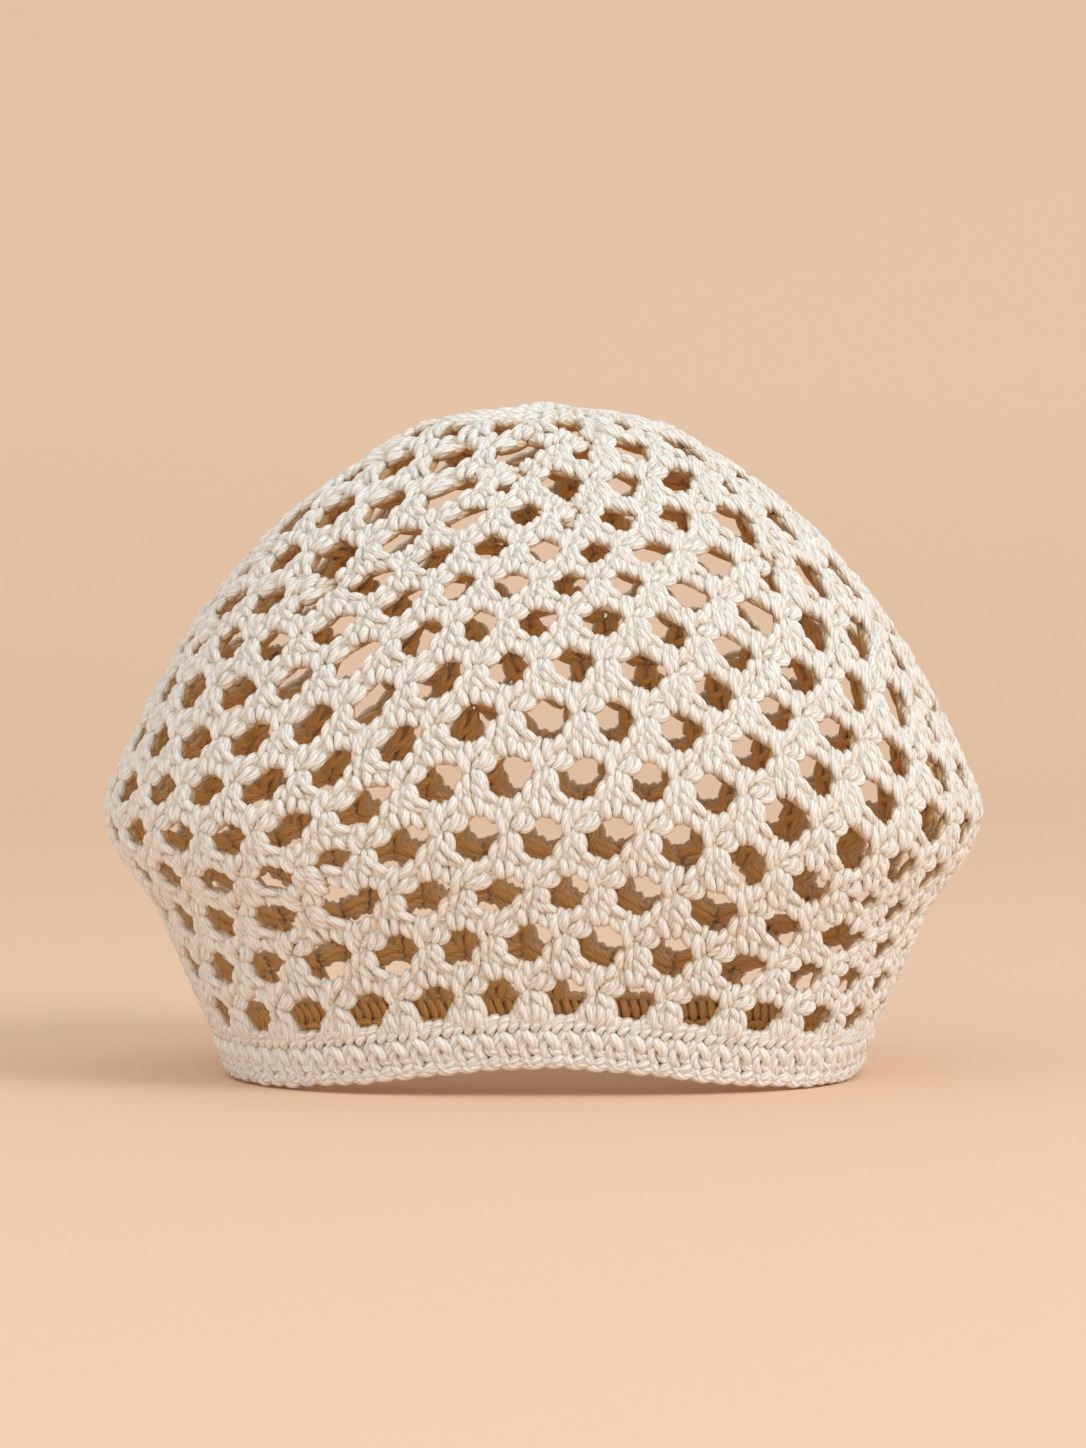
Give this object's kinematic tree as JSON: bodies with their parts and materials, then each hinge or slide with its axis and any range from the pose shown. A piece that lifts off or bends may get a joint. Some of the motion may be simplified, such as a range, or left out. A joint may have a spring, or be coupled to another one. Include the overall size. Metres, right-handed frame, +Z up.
{
  "type": "knit mesh hat",
  "caption": "Slouchy openwork hat crocheted from off-white cotton cord, with a close band, a rope-like hem edge and a closed crown centre.",
  "frame": {"origin": "on the surface that the hem rests on, under the middle of the hat", "axes": "+Z up; the front, where the hem arches clear of the surface, faces -Y; +X to the viewer's right of it"},
  "size_m": [0.24, 0.1871, 0.1846],
  "materials": {
    "cotton_cord": "matte mercerised cotton cord, loosely twisted"
  },
  "bodies": {
    "root": {"hem_edge": "cotton_cord", "band": "cotton_cord", "crown_net": "cotton_cord", "crown_centre": "cotton_cord"}
  },
  "joints": []
}
